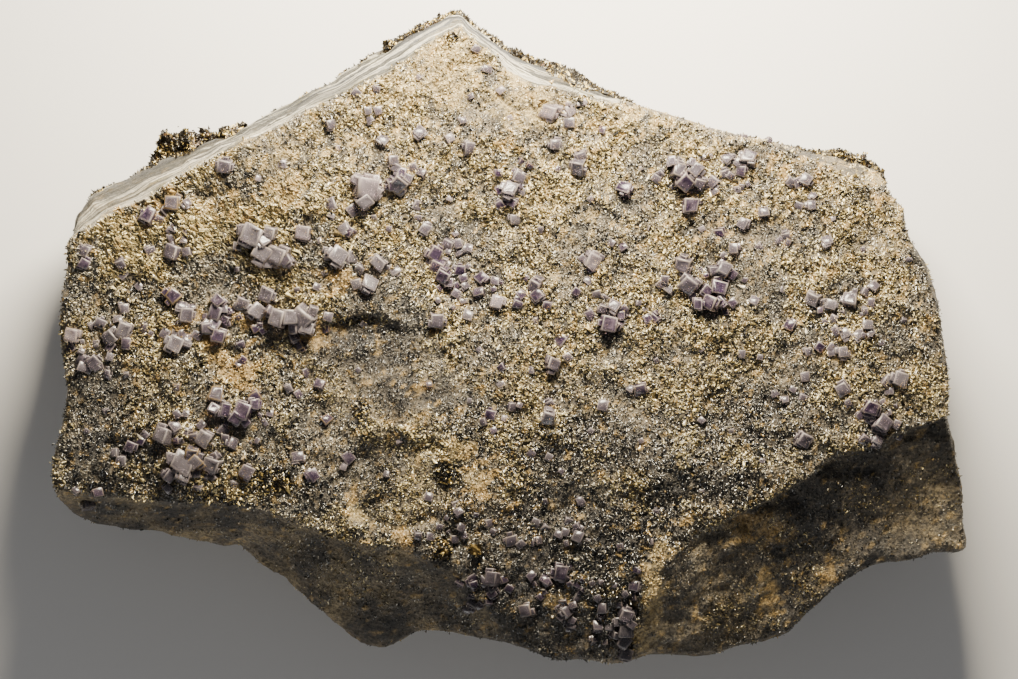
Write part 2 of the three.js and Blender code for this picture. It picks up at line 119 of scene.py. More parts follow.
# Dark places: partly darker rock and grey-blue quartz, partly painted shade under the ledge, in the pyrite
# hollows, below the shelf's step, on the under-face and over the lower front.
DARK_AND_SHADE_PLACES = [
    (765, 400, 30, 18, 0.8), (810, 505, 34, 26, 0.9), (890, 485, 44, 16, 0.7), (730, 575, 52, 42, 0.3),
    (380, 628, 44, 28, 0.9), (150, 517, 110, 15, 0.8), (283, 479, 22, 18, 0.8), (447, 472, 12, 10, 0.9),
    (445, 548, 11, 9, 0.8), (362, 410, 12, 16, 0.8), (626, 514, 24, 9, 0.7), (352, 320, 24, 5, 0.9),
    (300, 560, 60, 34, 0.5), (104, 511, 16, 8, 0.8), (76, 473, 9, 8, 0.9), (224, 500, 9, 18, 0.8),
    (560, 400, 60, 30, 0.3), (640, 470, 70, 30, 0.35), (580, 101, 8, 5, 0.9), (452, 43, 6, 6, 0.9),
    (566, 92, 20, 10, 0.6), (500, 480, 70, 50, 0.4), (700, 470, 60, 40, 0.3), (300, 440, 60, 30, 0.25),
    (120, 480, 60, 16, 0.5), (110, 430, 70, 70, 0.55), (375, 350, 60, 34, 0.9), (400, 390, 60, 30, 0.6),
    (690, 490, 90, 50, 0.65), (740, 420, 70, 40, 0.65), (375, 480, 40, 40, 0.5), (312, 492, 30, 20, 0.6),
    (290, 395, 50, 24, 0.35), (270, 288, 30, 12, 0.5), (480, 440, 60, 40, 0.4), (240, 350, 80, 30, 0.4),
    (580, 440, 100, 34, 0.62), (545, 590, 110, 80, 0.7), (520, 520, 130, 40, 0.5), (632, 540, 54, 34, 0.9),
    (150, 310, 70, 30, 0.4), (460, 540, 50, 30, 0.35), (380, 230, 40, 14, 0.4), (230, 270, 40, 14, 0.4),
    (540, 250, 60, 18, 0.35), (880, 350, 40, 20, 0.35),
]
# Nests of dark and golden grains; the thin rows under the ledge, along the shelf's step and the under-face's
# edge are partly painted shade.
GLINT_PLACES = [
    (272, 478, 22, 14, 1), (447, 473, 12, 12, 1), (441, 546, 12, 12, 1), (363, 408, 10, 14, 0.8),
    (475, 549, 8, 6, 0.8), (352, 320, 30, 5, 0.8), (310, 214, 8, 4, 0.7), (330, 268, 10, 8, 0.6),
    (452, 43, 7, 7, 0.9), (582, 101, 8, 6, 0.9), (290, 190, 5, 5, 0.8), (520, 165, 8, 8, 0.5),
    (225, 500, 30, 5, 0.6), (860, 440, 20, 6, 0.4), (490, 480, 26, 26, 0.3),
]
RIM_CRUST = [
    (200, 150, 62, 44, 1), (110, 180, 50, 26, 0.7), (440, 30, 80, 40, 1), (560, 70, 90, 40, 0.6),
    (838, 160, 60, 26, 1),
]
CRUST_TONGUES = [
    (570, 82, 40, 24, 1), (610, 96, 26, 14, 0.8), (505, 52, 16, 12, 0.5), (850, 160, 40, 16, 0.6),
]
# Where the quartz grains all lean one way: middle, half-width and half-height.
COMBED = (200, 230, 150, 80)
COMBED_TOWARDS = (0.75, -0.6, 0)

# Fluorite that has grown together, one list for each solid: u, v, edge in picture units, turn, tone.
# A small letter o after the tone is an orange-stained rim.
FLUORITE_CLUSTERS = {
    "fluorite_cluster_01": [
        (255, 237, 22, 25, "G"), (264, 254, 19, 35, "G"), (281, 256, 19, 20, "G"), (247, 230, 12, 0, "G"),
        (266, 243, 13, 50, "L"), (273, 234, 13, 15, "G"), (290, 262, 12, 50, "L"), (270, 264, 10, 0, "G"),
    ],
    "fluorite_cluster_02": [
        (219, 313, 13, 20, "P"), (216, 326, 14, 30, "P"), (221, 337, 14, 15, "P"), (221, 302, 12, 45, "P"),
        (226, 310, 10, 0, "L"), (209, 328, 11, 0, "L"), (228, 320, 9, 30, "P"),
    ],
    "fluorite_cluster_03": [
        (281, 318, 17, 15, "G"), (293, 318, 15, 5, "G"), (304, 317, 21, 45, "G"), (273, 311, 10, 40, "L"),
        (310, 328, 13, 20, "G"), (297, 328, 10, 0, "L"), (315, 311, 10, 20, "G"),
    ],
    "fluorite_cluster_04": [
        (228, 409, 13, 10, "P"), (239, 417, 13, 35, "P"), (247, 411, 17, 20, "P"), (217, 409, 11, 30, "P"),
        (256, 404, 11, 0, "P"), (224, 402, 8, 20, "L"), (248, 421, 9, 50, "P"),
    ],
    "fluorite_cluster_05": [
        (195, 452, 13, 10, "Lo"), (186, 462, 21, 30, "G"), (198, 461, 15, 50, "Go"),
        (187, 475, 13, 20, "G"), (176, 457, 11, 5, "G"), (172, 474, 12, 35, "L"), (180, 471, 9, 0, "L"),
        (204, 455, 8, 20, "L"),
    ],
    "fluorite_cluster_06": [
        (368, 189, 23, 10, "W"), (377, 194, 13, 32, "W"), (366, 203, 15, 50, "G"), (359, 181, 11, 30, "W"),
        (378, 182, 9, 0, "W"),
    ],
    "fluorite_cluster_07": [
        (400, 184, 17, 40, "L"), (393, 186, 12, 0, "P"), (403, 175, 11, 10, "P"), (397, 169, 10, 30, "L"),
        (394, 163, 10, 0, "L"), (409, 180, 10, 20, "L"),
    ],
    "fluorite_cluster_08": [
        (435, 254, 15, 30, "P"), (439, 266, 13, 25, "P"), (444, 276, 14, 30, "P"), (449, 284, 10, 0, "P"),
        (446, 262, 8, 10, "L"), (431, 262, 8, 40, "L"),
    ],
    "fluorite_cluster_09": [
        (676, 173, 14, 20, "L"), (684, 182, 15, 45, "P"), (694, 172, 13, 40, "L"), (670, 163, 9, 0, "L"),
        (698, 184, 11, 20, "L"), (690, 165, 8, 20, "L"), (676, 184, 8, 0, "P"),
    ],
    "fluorite_cluster_10": [
        (720, 271, 15, 25, "L"), (717, 288, 15, 10, "P"), (709, 303, 15, 20, "P"), (711, 271, 10, 0, "L"),
        (716, 280, 10, 0, "P"), (705, 291, 11, 40, "P"), (697, 305, 11, 0, "P"), (719, 303, 11, 45, "P"),
    ],
    "fluorite_cluster_11": [
        (612, 308, 13, 30, "L"), (610, 315, 12, 0, "P"), (607, 324, 16, 10, "P"), (615, 325, 11, 40, "P"),
        (602, 309, 9, 20, "L"), (620, 316, 8, 0, "P"),
    ],
    "fluorite_cluster_12": [
        (625, 613, 15, 20, "L"), (624, 628, 13, 0, "G"), (623, 639, 13, 30, "G"), (617, 620, 10, 0, "G"),
        (630, 622, 8, 40, "L"), (616, 633, 9, 20, "G"),
    ],
}
# Larger fluorite cubes that are one with the slab.
FLUORITE_CUBES = [
    (178, 345, 17, 25, "G"), (174, 205, 15, 5, "Lo"), (228, 167, 14, 10, "L"), (152, 217, 15, 30, "P"),
    (176, 253, 15, 20, "L"), (167, 435, 17, 20, "G"), (126, 329, 16, 20, "G"), (115, 337, 14, 50, "G"),
    (176, 297, 16, 42, "Po"), (189, 315, 14, 10, "L"), (258, 312, 16, 38, "G"), (269, 295, 14, 20, "L"),
    (250, 471, 14, 30, "L"), (219, 395, 15, 15, "Lo"), (216, 464, 15, 20, "G"), (207, 437, 16, 30, "G"),
    (76, 336, 15, 10, "W"), (97, 361, 14, 50, "L"), (306, 234, 14, 10, "W"), (339, 257, 18, 35, "G"),
    (381, 264, 14, 40, "G"), (370, 285, 16, 20, "G"), (497, 303, 14, 15, "W"), (437, 320, 14, 5, "L"),
    (510, 192, 16, 20, "L"), (535, 286, 14, 20, "L"), (550, 114, 14, 15, "W"), (552, 364, 14, 20, "L"),
    (548, 416, 15, 10, "G"), (559, 571, 15, 10, "P"), (578, 168, 15, 10, "L"), (591, 261, 16, 30, "W"),
    (493, 576, 14, 10, "L"), (624, 190, 14, 20, "P"), (688, 207, 14, 3, "P"), (682, 265, 16, 15, "L"),
    (688, 284, 17, 38, "L"), (746, 160, 14, 15, "L"), (847, 301, 14, 10, "L"), (811, 299, 14, 20, "G"),
    (801, 438, 14, 25, "L"), (867, 407, 15, 20, "P"), (878, 423, 15, 35, "L"), (896, 379, 15, 20, "G"),
]
# Small fluorite cubes: for each tone and edge, their places.
SMALL_CUBES = {
    "L": {
        13: [(87, 361), (244, 304), (839, 388), (474, 600), (526, 609)],
        12: [
            (88, 252), (189, 340), (178, 427), (225, 429), (234, 442), (202, 485), (300, 457), (420, 135),
            (469, 149), (334, 206), (354, 212), (425, 230), (449, 245), (518, 179), (554, 146), (602, 405),
            (712, 184), (803, 182), (883, 381), (873, 440), (511, 538), (578, 536), (565, 610),
        ],
        11: [
            (184, 307), (127, 309), (104, 323), (110, 372), (200, 336), (384, 142), (569, 125), (580, 157),
            (722, 175), (725, 161), (761, 214), (741, 225), (824, 243), (732, 250), (801, 398), (887, 390),
            (861, 438), (872, 429), (483, 579), (492, 586), (578, 595), (597, 625), (602, 606),
        ],
        10: [
            (124, 264), (126, 275), (153, 251), (190, 253), (148, 328), (329, 317), (168, 334), (197, 436),
            (228, 437), (149, 434), (331, 126), (487, 72), (417, 206), (459, 245), (496, 282), (522, 192),
            (787, 183), (794, 184), (808, 207), (784, 237), (752, 303), (870, 288), (802, 377), (458, 508),
            (488, 521),
        ],
        9: [
            (284, 166), (92, 369), (104, 366), (184, 334), (296, 338), (181, 414), (188, 431), (205, 425),
            (358, 95), (476, 51), (414, 169), (423, 175), (511, 406), (596, 294), (603, 298), (567, 357),
            (550, 402), (736, 165), (797, 206), (757, 248), (659, 285), (664, 280), (805, 352), (579, 500),
            (558, 533), (520, 542), (480, 603), (468, 608), (418, 533), (430, 535), (429, 496),
        ],
        8: [
            (187, 242), (142, 287), (195, 308), (272, 413), (80, 490), (378, 91), (369, 113), (379, 113),
            (372, 122), (463, 123), (318, 288), (461, 253), (463, 302), (484, 421), (600, 258), (587, 282),
            (531, 370), (629, 389), (531, 452), (698, 202), (810, 198), (722, 256), (740, 354), (773, 393),
            (783, 400), (844, 402), (494, 530),
        ],
        7: [
            (472, 99), (419, 219), (519, 405), (581, 259), (611, 244), (643, 310), (535, 321), (670, 163),
            (776, 241), (790, 389), (743, 138), (766, 143), (700, 420), (300, 290), (905, 260), (780, 290),
            (110, 410), (620, 545),
        ],
        6: [
            (154, 333), (456, 235), (637, 304), (758, 357), (648, 230), (655, 360), (700, 350), (480, 350),
            (560, 470), (640, 440), (390, 230), (240, 270), (540, 230), (900, 320), (860, 250), (90, 430),
            (260, 440), (655, 510), (700, 490), (760, 460), (545, 500), (360, 370),
        ],
    },
    "P": {
        13: [(561, 340)],
        12: [
            (75, 347), (134, 445), (315, 474), (349, 456), (460, 270), (538, 296), (491, 414), (719, 234),
            (545, 579), (474, 577), (634, 584), (639, 388),
        ],
        11: [(88, 264), (130, 343), (482, 279), (740, 172), (788, 326), (859, 414), (461, 579)],
        10: [
            (162, 220), (115, 348), (322, 384), (101, 491), (352, 234), (480, 293), (456, 296), (517, 304),
            (654, 318), (816, 347), (633, 595),
        ],
        9: [
            (167, 212), (299, 394), (521, 295), (547, 305), (502, 367), (500, 192), (505, 204), (576, 292),
            (646, 319), (866, 418),
        ],
        8: [
            (245, 360), (307, 372), (145, 441), (393, 187), (464, 279), (494, 430), (513, 184), (602, 132),
            (623, 248), (616, 324), (622, 322), (732, 164), (552, 574), (635, 568), (569, 565),
        ],
        7: [(456, 286), (817, 311), (235, 418), (180, 440), (520, 187), (590, 270), (440, 288)],
        6: [(557, 171)],
    },
    "G": {
        13: [(624, 652)],
        12: [(90, 503), (353, 257), (514, 220), (842, 334), (839, 352)],
        11: [
            (125, 460), (211, 473), (346, 230), (331, 256), (396, 272), (828, 306), (855, 336), (864, 326),
            (536, 521), (610, 625),
        ],
        10: [(362, 269), (358, 284), (468, 316), (668, 289), (819, 303), (888, 378)],
        9: [
            (119, 452), (193, 467), (347, 260), (388, 268), (548, 456), (831, 319), (545, 526), (118, 330),
            (291, 388), (240, 248),
        ],
        8: [(447, 265), (501, 384), (178, 333), (277, 300)],
        7: [(388, 473), (364, 324), (587, 539)],
        6: [(590, 430), (730, 430), (470, 400)],
    },
    "W": {
        12: [(569, 113)],
        10: [(558, 111)],
        9: [(450, 140)],
        8: [(501, 93), (345, 465)],
        7: [(400, 440), (650, 540)],
        6: [
            (504, 418), (420, 80), (510, 120), (590, 200), (640, 170), (700, 230), (450, 200), (260, 180),
            (340, 150), (830, 220), (600, 580),
        ],
    },
    "Po": {
        11: [(302, 345), (257, 396), (328, 420)],
        8: [(328, 329), (257, 329)],
        7: [(521, 163), (529, 167)],
    },
    "Lo": {
        9: [(181, 198), (713, 193)],
        8: [(180, 387), (785, 243)],
        7: [(430, 385), (240, 365)],
    },
}
# Fields of tiny cubes: middle, half-width and half-height, count, tone.
CUBE_FIELDS = [
    (600, 612, 44, 32, 26, "L"), (556, 582, 30, 16, 12, "P"), (486, 592, 26, 20, 14, "P"),
    (462, 520, 30, 18, 10, "L"), (560, 532, 36, 14, 10, "L"), (850, 330, 36, 40, 20, "L"),
    (700, 175, 60, 22, 16, "L"), (715, 285, 30, 34, 12, "P"), (220, 325, 50, 24, 16, "P"),
    (215, 430, 60, 30, 18, "L"), (110, 350, 36, 34, 12, "G"), (170, 225, 40, 24, 8, "L"),
    (450, 270, 24, 40, 12, "L"), (520, 290, 30, 14, 8, "P"), (612, 315, 26, 14, 8, "P"),
    (510, 190, 16, 22, 8, "P"), (350, 245, 40, 40, 10, "G"), (880, 420, 24, 24, 10, "L"),
    (560, 110, 30, 12, 6, "W"), (200, 480, 60, 14, 8, "G"),
]
# Share of purple core and of white for each tone: purple, lilac, grey-blue and whitish.
TONES = {"P": (1, 0), "L": (0.35, 0.15), "G": (0, 0.35), "W": (0.05, 1)}
# Painted shade on the cubes, down the picture: at these v, these shares of light and of clear edges.
SHADE_DOWN_THE_PICTURE = ((400, 540), (0.88, 0.45))


def to_x(u):
    return (u - CENTRE_U) * UNIT


def to_y(v):
    return (CENTRE_V - v) * UNIT


def picture_place(place):
    """The picture units u and v of an array of points."""
    return place[:, 0] / UNIT + CENTRE_U, CENTRE_V - place[:, 1] / UNIT


def scatter(i, j):
    """The same number from 0 to 1 for the same pair, as the solids use it."""
    wave = math.sin(i * 127.1 + j * 311.7) * 43758.5453
    return wave - math.floor(wave)


def in_area(area, u, v):
    """Which of the places u, v lie inside a closed outline."""
    within = np.zeros(len(u), dtype=bool)
    for (u0, v0), (u1, v1) in zip(area[-1:] + area[:-1], area):
        if v0 != v1:
            within ^= ((v0 > v) != (v1 > v)) & (u < (u1 - u0) * (v - v0) / (v1 - v0) + u0)
    return within


def places(rows, u, v):
    """How strongly each place u, v lies in a list of soft-edged ellipses."""
    steepness, fall = 1.3, 0.8
    total = np.zeros(len(u))
    for centre_u, centre_v, wide, high, strength in rows:
        away = ((u - centre_u) / wide) ** 2 + ((v - centre_v) / high) ** 2
        total = np.maximum(total, strength * np.exp(-(away**steepness) * fall))
    return total


def fractal(place, scale, *settings):
    return np.array([noise.fractal(Vector(p) * scale, *settings) for p in place])


def noise_vectors(place, scale):
    return np.array([noise.noise_vector(Vector(p) * scale) for p in place])


def link(name, data):
    piece = bpy.data.objects.new(name, data)
    bpy.context.scene.collection.objects.link(piece)
    return piece


def finish(pieces, material):
    for piece in pieces:
        piece.data.materials.clear()
        piece.data.materials.append(material)
        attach(piece, "root")


# Shader building.
def feed(tree, node, inputs):
    """Fills a node's inputs, by name or number, from another node's output, a colour or a plain value."""
    for key, value in inputs.items():
        socket = node.inputs[key]
        if isinstance(value, bpy.types.NodeSocket):
            tree.links.new(value, socket)
        else:
            socket.default_value = (*value, 1) if socket.type == "RGBA" else value


def add_node(tree, kind, inputs):
    node = tree.nodes.new(kind)
    feed(tree, node, inputs)
    return node


def new_material(name):
    """A new material with its node tree and its surface shader."""
    material = bpy.data.materials.new(name)
    material.use_nodes = True
    tree = material.node_tree
    return material, tree, tree.nodes["Principled BSDF"]


def attribute(tree, name, output="Fac"):
    node = tree.nodes.new("ShaderNodeAttribute")
    node.attribute_name = name
    return node.outputs[output]


def object_noise(tree, scale, detail=4.0, roughness=0.55, stretch=(1, 1, 1)):
    """A noise on Object coordinates, its scale in features to the metre."""
    own = tree.nodes.new("ShaderNodeTexCoord").outputs["Object"]
    spot = add_node(tree, "ShaderNodeMapping", {"Vector": own, "Scale": stretch}).outputs["Vector"]
    inputs = {"Vector": spot, "Scale": scale, "Detail": detail, "Roughness": roughness}
    return add_node(tree, "ShaderNodeTexNoise", inputs).outputs["Fac"]


def ramp(tree, value, stops):
    """A colour ramp from a list of (position, colour), where a plain number is a grey."""
    node = tree.nodes.new("ShaderNodeValToRGB")
    points = node.color_ramp.elements
    while len(points) < len(stops):
        points.new(0.5)
    for point, (position, colour) in zip(points, stops):
        point.position = position
        point.color = (*colour, 1) if isinstance(colour, tuple) else (colour, colour, colour, 1)
    tree.links.new(value, node.inputs["Fac"])
    return node.outputs["Color"]


def mixed(tree, amount, first, second, blend="MIX"):
    """Mix of two colours: inputs 0, 6 and 7 are the amount and the colours, output 2 the mix."""
    node = tree.nodes.new("ShaderNodeMix")
    node.data_type = "RGBA"
    node.blend_type = blend
    feed(tree, node, {0: amount, 6: first, 7: second})
    return node.outputs[2]


def clamped(tree, operation, first, second=0.0):
    """An operation on one or two numbers, its result held between 0 and 1."""
    node = add_node(tree, "ShaderNodeMath", {0: first, 1: second})
    node.operation = operation
    node.use_clamp = True
    return node.outputs[0]


def bumped(tree, height, distance, strength):
    inputs = {"Height": height, "Distance": distance, "Strength": strength}
    return add_node(tree, "ShaderNodeBump", inputs).outputs["Normal"]


def separated(tree, colour):
    """The red, green and blue of a colour."""
    node = add_node(tree, "ShaderNodeSeparateColor", {"Color": colour})
    return [node.outputs[part] for part in ("Red", "Green", "Blue")]


# Colours, as the light-linear values that the shaders take.
CREAM = (0.62, 0.47, 0.22)
GREY_BEIGE = (0.22, 0.18, 0.12)
ORANGE = (0.5, 0.33, 0.12)
# Multiplied in where the zones hold dark patches and painted shade.
DARK_AND_SHADE_TINT = (0.32, 0.32, 0.345)
LILAC = (0.41, 0.305, 0.415)
PURPLE = (0.1, 0.06, 0.14)
BLUE_GREY = (0.31, 0.288, 0.335)
WHITISH = (0.57, 0.48, 0.525)
# Pale edge colour of the fluorite: partly frosty crystal, partly painted highlight.
FROST_AND_HIGHLIGHT = (0.86, 0.735, 0.69)
FLUORITE_IOR = 1.434


def zone_group():
    """Node group: tints a colour by the zone attribute. Red is orange stain, green cream with some painted
    light, blue dark patches and painted shade.
    """
    group = bpy.data.node_groups.new("zone_tint", "ShaderNodeTree")
    group.interface.new_socket("Plain", in_out="INPUT", socket_type="NodeSocketColor")
    group.interface.new_socket("Tinted", in_out="OUTPUT", socket_type="NodeSocketColor")
    plain = group.nodes.new("NodeGroupInput").outputs["Plain"]
    stain, cream, dark = separated(group, attribute(group, "zone", "Color"))
    light = mixed(group, stain, mixed(group, cream, plain, CREAM), ORANGE)
    # Multiplies in the dark patches and the painted shade.
    darkened = mixed(group, dark, light, DARK_AND_SHADE_TINT, "MULTIPLY")
    group.links.new(darkened, group.nodes.new("NodeGroupOutput").inputs["Tinted"])
    return group


ZONE_TINT = zone_group()


def tinted(tree, plain):
    node = tree.nodes.new("ShaderNodeGroup")
    node.node_tree = ZONE_TINT
    feed(tree, node, {"Plain": plain})
    return node.outputs["Tinted"]


def rock_material():
    """Vein rock: mottled and speckled grey-brown, with a smooth striped band along the upper rim."""
    material, tree, shader = new_material("vein_rock")
    mottle = ramp(tree, object_noise(tree, 150, 7, 0.7), [
        (0.34, (0.03, 0.027, 0.024)), (0.45, (0.1, 0.087, 0.068)), (0.52, (0.155, 0.124, 0.082)),
        (0.6, GREY_BEIGE), (0.7, (0.32, 0.25, 0.14)),
    ])
    speckle = ramp(tree, object_noise(tree, 1500, 3, 0.7), [(0.38, 0.1), (0.5, 0.55), (0.6, 1)])
    broken = mixed(tree, 0.85, tinted(tree, mottle), speckle, "MULTIPLY")
    bands = ramp(tree, object_noise(tree, 60, 4, 0.5, (0.1, 0.1, 3)), [
        (0.32, 0.04), (0.4, 0.1), (0.43, (0.5, 0.47, 0.39)), (0.455, (0.05, 0.045, 0.012)),
        (0.47, (0.3, 0.27, 0.2)), (0.495, (0.66, 0.62, 0.51)), (0.515, (0.06, 0.06, 0.05)),
        (0.53, (0.5, 0.46, 0.38)), (0.55, (0.09, 0.075, 0.02)), (0.575, (0.6, 0.55, 0.45)), (0.66, 0.1),
    ])
    hairlines = ramp(tree, object_noise(tree, 330, 2, 0.6, (0.05, 0.05, 0.95)), [
        (0.42, 0.1), (0.46, 0.3), (0.49, 1),
    ])
    striped = mixed(tree, 0.95, bands, hairlines, "MULTIPLY")
    feed(tree, shader, {
        "Base Color": mixed(tree, attribute(tree, "band"), broken, striped),
        "Roughness": ramp(tree, object_noise(tree, 900, 3), [(0.3, 0.4), (0.7, 0.8)]),
        "Normal": bumped(tree, object_noise(tree, 1500, 5, 0.75), 0.0009, 0.8),
    })
    return material


def druse_material():
    """Quartz grains: clear grey, olive and cream by patches, each grain with its own tone."""
    material, tree, shader = new_material("quartz_druse")
    tone, crust = attribute(tree, "tone"), attribute(tree, "crust")
    clear = ramp(tree, tone, [
        (0, 0.005), (0.4, (0.03, 0.029, 0.027)), (0.7, (0.13, 0.12, 0.1)), (1, (0.66, 0.6, 0.45)),
    ])
    olive = ramp(tree, tone, [
        (0, (0.006, 0.005, 0.003)), (0.35, (0.05, 0.04, 0.022)), (0.65, (0.25, 0.2, 0.1)),
        (1, (0.82, 0.69, 0.37)),
    ])
    cream = ramp(tree, tone, [
        (0, (0.016, 0.011, 0.004)), (0.3, (0.15, 0.11, 0.045)), (0.6, (0.5, 0.39, 0.17)),
        (1, (0.9, 0.76, 0.41)),
    ])
    to_olive = ramp(tree, crust, [(0.38, 0), (0.47, 1)])
    to_cream = ramp(tree, crust, [(0.57, 0), (0.64, 1)])
    plain = mixed(tree, to_cream, mixed(tree, to_olive, clear, olive), cream)
    speckle = ramp(tree, object_noise(tree, 3400, 2, 0.7), [(0.42, 0.16), (0.54, 1)])
    feed(tree, shader, {
        "Base Color": mixed(tree, 0.8, tinted(tree, plain), speckle, "MULTIPLY"),
        "Roughness": 0.2,
        "Specular IOR Level": 0.8,
        "Normal": bumped(tree, object_noise(tree, 3000, 2), 0.0001, 0.3),
    })
    return material


def dark_druse_material():
    """Near-black crust with bronze and gold grains; the palest, bright gold and near-white with little metal,
    are painted glints.
    """
    material, tree, shader = new_material("dark_rim_druse")
    tone = attribute(tree, "tone")
    # Painted glints at the top of the tone: bright gold and near-white, where the metal share drops.
    plain = ramp(tree, tone, [
        (0, (0.006, 0.005, 0.004)), (0.66, (0.022, 0.017, 0.011)), (0.84, (0.22, 0.155, 0.055)),
        (0.93, (0.7, 0.52, 0.17)), (1, (0.66, 0.6, 0.42)),
    ])
    gleam = ramp(tree, tone, [(0.6, 0.2), (0.8, 0.8), (0.93, 0.1)])
    feed(tree, shader, {"Base Color": plain, "Metallic": gleam, "Roughness": 0.3})
    return material


def rim_distance(tree):
    """The middle one of a cube's own three coordinates, without sign: 0.5 on its edges, less on its faces."""
    own = add_node(tree, "ShaderNodeSeparateXYZ", {"Vector": attribute(tree, "own_place", "Vector")})
    x, y, z = (clamped(tree, "ABSOLUTE", own.outputs[axis]) for axis in "XYZ")
    low, high = clamped(tree, "MINIMUM", x, y), clamped(tree, "MAXIMUM", x, y)
    return clamped(tree, "MAXIMUM", low, clamped(tree, "MINIMUM", high, z))


def fluorite_material():
    """Violet fluorite: cloudy glass with growth bands parallel to its faces and thin pale edges, partly
    frosty, partly painted highlight.

    The growth attribute's red is a painted light share that falls off towards the bottom, its green the
    purple core and its blue the white.
    """
    material, tree, shader = new_material("violet_fluorite")
    lit_share, purple, white = separated(tree, attribute(tree, "growth", "Color"))
    clouds = object_noise(tree, 420, 4, 0.6)
    fine = object_noise(tree, 1500, 3, 0.7)
    wavering = clamped(tree, "MULTIPLY", clamped(tree, "SUBTRACT", fine, 0.4), 0.16)
    distance = clamped(tree, "ADD", rim_distance(tree), wavering)
    base = mixed(tree, purple, BLUE_GREY, LILAC)
    patches = ramp(tree, clouds, [(0.42, 0.15), (0.56, 1)])
    core = mixed(tree, clamped(tree, "MULTIPLY", purple, patches), base, PURPLE)
    bands = ramp(tree, distance, [(0.1, 0.75), (0.2, 0.55), (0.3, 1), (0.38, 0.6), (0.46, 0.85)])
    veils = ramp(tree, object_noise(tree, 600, 3, 0.6), [(0.4, 0.5), (0.5, 0.85), (0.62, 1)])
    banded = mixed(tree, 0.7, mixed(tree, 0.8, core, veils, "MULTIPLY"), bands, "MULTIPLY")
    pale = mixed(tree, white, banded, WHITISH)
    edge = ramp(tree, distance, [(0.38, 0), (0.43, 0.35), (0.475, 1)])
    # Pale edges, partly frosty crystal and partly a painted highlight, stronger where the painted light share
    # is higher.
    edge_frost_and_highlight = clamped(tree, "MULTIPLY", edge, lit_share)
    # Painted shade: the cube's colour darkened towards the bottom.
    painted_shade = ramp(tree, lit_share, [(0.4, 0.5), (1, 1)])
    frosted_and_highlit = mixed(tree, edge_frost_and_highlight, mixed(tree, 1.0, pale, painted_shade, "MULTIPLY"), FROST_AND_HIGHLIGHT)
    rim = clamped(tree, "MULTIPLY", edge, attribute(tree, "rim_stain"))
    feed(tree, shader, {
        "Base Color": mixed(tree, rim, frosted_and_highlit, ORANGE),
        "Roughness": ramp(tree, distance, [(0.25, 0.24), (0.44, 0.3), (0.5, 0.5)]),
        "IOR": FLUORITE_IOR,
        "Transmission Weight": 0.78,
        "Normal": bumped(tree, clouds, 0.0003, 0.2),
    })
    return material


def pyrite_material():
    """Brassy pyrite with striated faces: its dark base partly a tarnished skin, partly painted shade of its
    hollow; its bright gold patches painted glints.
    """
    material, tree, shader = new_material("dark_pyrite_with_glints")
    # Dark patches partly tarnished skin, partly painted shade; bright gold patches painted glints.
    tarnish_shade_and_glints = ramp(tree, object_noise(tree, 700, 4), [
        (0.42, (0.015, 0.01, 0.005)), (0.54, (0.09, 0.06, 0.022)), (0.64, (0.6, 0.42, 0.15)),
    ])
    striae = object_noise(tree, 2600, 2, 0.5, (1, 6, 1))
    feed(tree, shader, {
        "Base Color": tarnish_shade_and_glints, "Metallic": 0.9, "Roughness": 0.28,
        "Normal": bumped(tree, striae, 0.0001, 0.4),
    })
    return material


def hubnerite_material():
    """Brown-black blades with a bronze sheen and fine striations."""
    material, tree, shader = new_material("brown_black_hubnerite")
    tone = ramp(tree, object_noise(tree, 500, 5), [
        (0.35, (0.014, 0.01, 0.008)), (0.58, (0.06, 0.036, 0.02)), (0.75, (0.22, 0.12, 0.045)),
    ])
    striae = object_noise(tree, 1800, 3, 0.6, (1, 1, 5))
    feed(tree, shader, {
        "Base Color": tone, "Metallic": 0.55, "Roughness": 0.28,
        "Normal": bumped(tree, striae, 0.0002, 0.6),
    })
    return material


# Meshes.
WELD_DISTANCE = 1e-6


def read(items, key, width=1, kind=float):
    """A number from each item of a mesh, or a row of them."""
    values = np.empty(len(items) * width, dtype=kind)
    items.foreach_get(key, values)
    return values.reshape(-1, width) if width > 1 else values


def coordinates(mesh):
    return read(mesh.vertices, "co", 3)


def normals(mesh):
    return read(mesh.vertex_normals, "vector", 3)


def move_to(mesh, place):
    mesh.vertices.foreach_set("co", place.ravel())
    mesh.update()


def store(mesh, name, kind, values):
    """Keeps a value for each vertex as an attribute that the materials read."""
    layer = mesh.attributes.new(name, kind, "POINT")
    key = {"FLOAT_COLOR": "color", "FLOAT_VECTOR": "vector"}.get(kind, "value")
    layer.data.foreach_set(key, np.ascontiguousarray(values, dtype=np.float32).ravel())


def mesh_from(edit, name):
    mesh = bpy.data.meshes.new(name)
    edit.to_mesh(mesh)
    edit.free()
    return mesh


def solid_copy(node, name):
    """A CAD node's mesh as an object, with its loose triangles joined."""
    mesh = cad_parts[node].data.copy()
    mesh.name = name
    edit = bmesh.new()
    edit.from_mesh(mesh)
    bmesh.ops.remove_doubles(edit, verts=edit.verts, dist=WELD_DISTANCE)
    edit.to_mesh(mesh)
    edit.free()
    return link(name, mesh)


def with_modifiers(piece):
    """The piece's mesh with its modifiers applied, in a new object of the same name."""
    shown = piece.evaluated_get(bpy.context.evaluated_depsgraph_get())
    mesh = bpy.data.meshes.new_from_object(shown)
    name = piece.name
    bpy.data.objects.remove(piece)
    return link(name, mesh)


def remeshed(node, name, voxel):
    """A CAD node's solid in small even faces."""
    piece = solid_copy(node, name)
    remesh = piece.modifiers.new("remesh", "REMESH")
    remesh.mode = "VOXEL"
    remesh.voxel_size = voxel
    return with_modifiers(piece)


# The rock.
ROCK_VOXEL = 1.08 * MM
# Below this height no point is moved outwards.
REST_HEIGHT = 1.2 * MM
RAY_HEIGHT = 0.1

